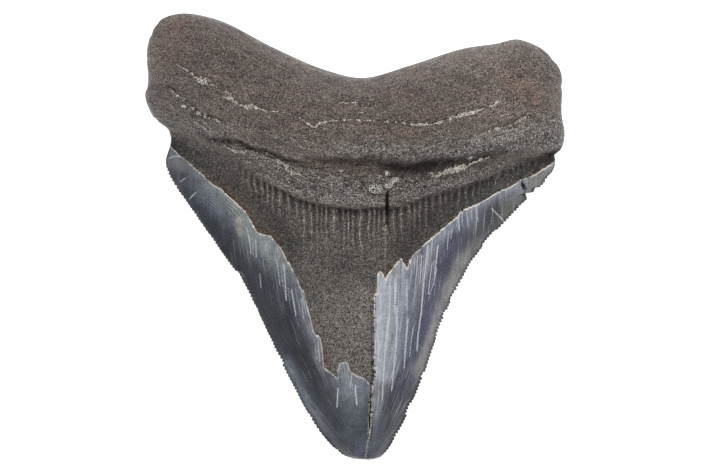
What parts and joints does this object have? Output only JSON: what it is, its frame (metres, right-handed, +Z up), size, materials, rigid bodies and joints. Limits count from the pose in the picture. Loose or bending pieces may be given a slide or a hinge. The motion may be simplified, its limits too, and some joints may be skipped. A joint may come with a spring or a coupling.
{
  "type": "fossil megalodon tooth",
  "caption": "Triangular fossil shark tooth lying on its flatter face: a serrated blade with grey enamel worn back from a brown bare band, and a broad two-lobed grainy root.",
  "frame": {"origin": "on the surface the tooth lies on, under the middle of its outline seen from above", "axes": "+Y from the blade's tip to the root, +X to the right seen from above with the root away, +Z up out of the bulging tongue side"},
  "size_m": [0.0838, 0.0894, 0.0194],
  "materials": {
    "fossil": "dull grainy grey-brown root and bare band, with glossy blue-grey enamel on the blade"
  },
  "bodies": {
    "root": {"tooth": "fossil"}
  },
  "joints": []
}
